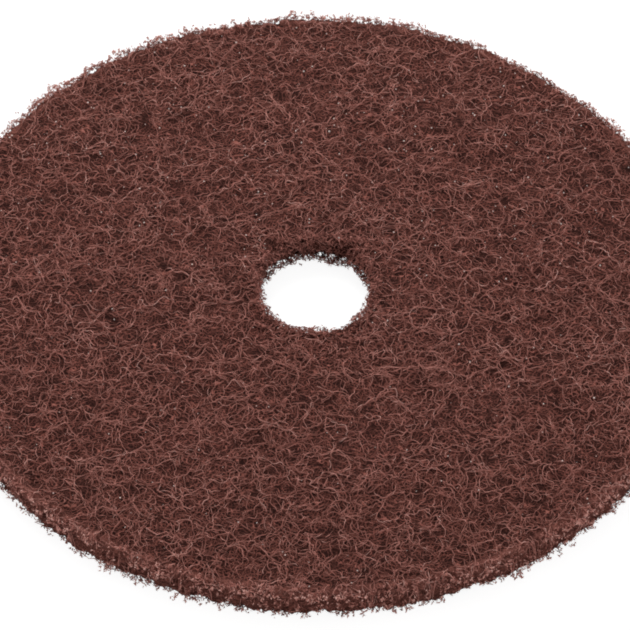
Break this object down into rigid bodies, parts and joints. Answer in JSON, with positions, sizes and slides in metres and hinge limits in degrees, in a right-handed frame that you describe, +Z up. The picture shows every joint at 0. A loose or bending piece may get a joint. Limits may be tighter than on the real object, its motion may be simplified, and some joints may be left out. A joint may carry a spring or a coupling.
{
  "type": "fleece abrasive wheel",
  "caption": "Round floor-machine pad of lofty resin-bonded abrasive fibre fleece, die-cut with a centre hole, used on either side.",
  "frame": {"origin": "centre of the underside, on the surface that the pad lies on", "axes": "+Z up along the pad's axis, through the centre hole; the pad is round, so X and Y are free"},
  "size_m": [0.508, 0.5079, 0.0254],
  "materials": {
    "fleece": "matt maroon-brown resin-bonded fibre with mineral grit, open and springy"
  },
  "bodies": {
    "root": {"fleece_disc": "fleece"}
  },
  "joints": []
}
